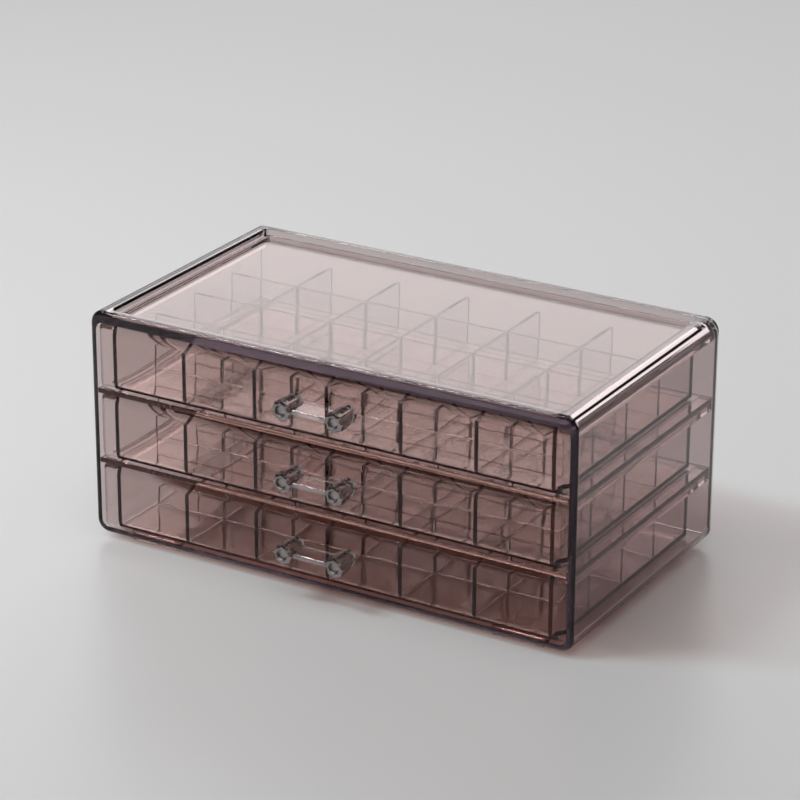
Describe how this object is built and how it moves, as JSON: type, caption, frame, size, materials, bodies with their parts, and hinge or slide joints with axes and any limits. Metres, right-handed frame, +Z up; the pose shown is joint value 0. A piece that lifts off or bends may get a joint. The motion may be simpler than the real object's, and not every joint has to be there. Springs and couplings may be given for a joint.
{
  "type": "jewellery organizer with drawers",
  "caption": "Clear tinted acrylic box with sliding drawers, each divided into small compartments and pulled by a bar between two faceted knobs.",
  "frame": {"origin": "on the table, under the middle of the whole object, its handles included", "axes": "+X to the right, +Y to the back, +Z up; the drawers pull out along -Y"},
  "size_m": [0.235, 0.1436, 0.106],
  "materials": {
    "case_clear_tint": "polished clear, smoky pink-brown tint",
    "drawer_clear_tint": "polished clear, smoky pink-brown tint",
    "strip_clear_tint": "polished clear, smoky pink-brown tint",
    "handle_clear_tint": "polished clear, faceted, light tint",
    "feet_clear_tint": "polished clear, smoky pink-brown tint"
  },
  "bodies": {
    "case": {"case_shell": "case_clear_tint", "back_panel": "case_clear_tint", "middle_shelf": "case_clear_tint", "upper_shelf": "case_clear_tint", "lower_rail_left": "case_clear_tint", "lower_rail_right": "case_clear_tint", "middle_rail_left": "case_clear_tint", "middle_rail_right": "case_clear_tint", "upper_rail_left": "case_clear_tint", "upper_rail_right": "case_clear_tint", "foot_front_left": "feet_clear_tint", "foot_front_right": "feet_clear_tint", "foot_back_left": "feet_clear_tint", "foot_back_right": "feet_clear_tint"},
    "lower_drawer": {"lower_front": "drawer_clear_tint", "lower_tray": "drawer_clear_tint", "lower_long_strip_1": "strip_clear_tint", "lower_long_strip_2": "strip_clear_tint", "lower_long_strip_3": "strip_clear_tint", "lower_long_strip_4": "strip_clear_tint", "lower_long_strip_5": "strip_clear_tint", "lower_cross_strip_1": "strip_clear_tint", "lower_cross_strip_2": "strip_clear_tint", "lower_cross_strip_3": "strip_clear_tint", "lower_handle_bar": "handle_clear_tint", "lower_knob_left": "handle_clear_tint", "lower_knob_right": "handle_clear_tint"},
    "middle_drawer": {"middle_front": "drawer_clear_tint", "middle_tray": "drawer_clear_tint", "middle_long_strip_1": "strip_clear_tint", "middle_long_strip_2": "strip_clear_tint", "middle_long_strip_3": "strip_clear_tint", "middle_long_strip_4": "strip_clear_tint", "middle_long_strip_5": "strip_clear_tint", "middle_cross_strip_1": "strip_clear_tint", "middle_cross_strip_2": "strip_clear_tint", "middle_cross_strip_3": "strip_clear_tint", "middle_handle_bar": "handle_clear_tint", "middle_knob_left": "handle_clear_tint", "middle_knob_right": "handle_clear_tint"},
    "upper_drawer": {"upper_front": "drawer_clear_tint", "upper_tray": "drawer_clear_tint", "upper_long_strip_1": "strip_clear_tint", "upper_long_strip_2": "strip_clear_tint", "upper_long_strip_3": "strip_clear_tint", "upper_long_strip_4": "strip_clear_tint", "upper_long_strip_5": "strip_clear_tint", "upper_cross_strip_1": "strip_clear_tint", "upper_cross_strip_2": "strip_clear_tint", "upper_cross_strip_3": "strip_clear_tint", "upper_handle_bar": "handle_clear_tint", "upper_knob_left": "handle_clear_tint", "upper_knob_right": "handle_clear_tint"}
  },
  "joints": [
    {"name": "lower_drawer_slide", "type": "slide", "parent": "case", "child": "lower_drawer", "axis": [0, -1, 0], "range_m": [0, 0.105]},
    {"name": "middle_drawer_slide", "type": "slide", "parent": "case", "child": "middle_drawer", "axis": [0, -1, 0], "range_m": [0, 0.105]},
    {"name": "upper_drawer_slide", "type": "slide", "parent": "case", "child": "upper_drawer", "axis": [0, -1, 0], "range_m": [0, 0.105]}
  ]
}
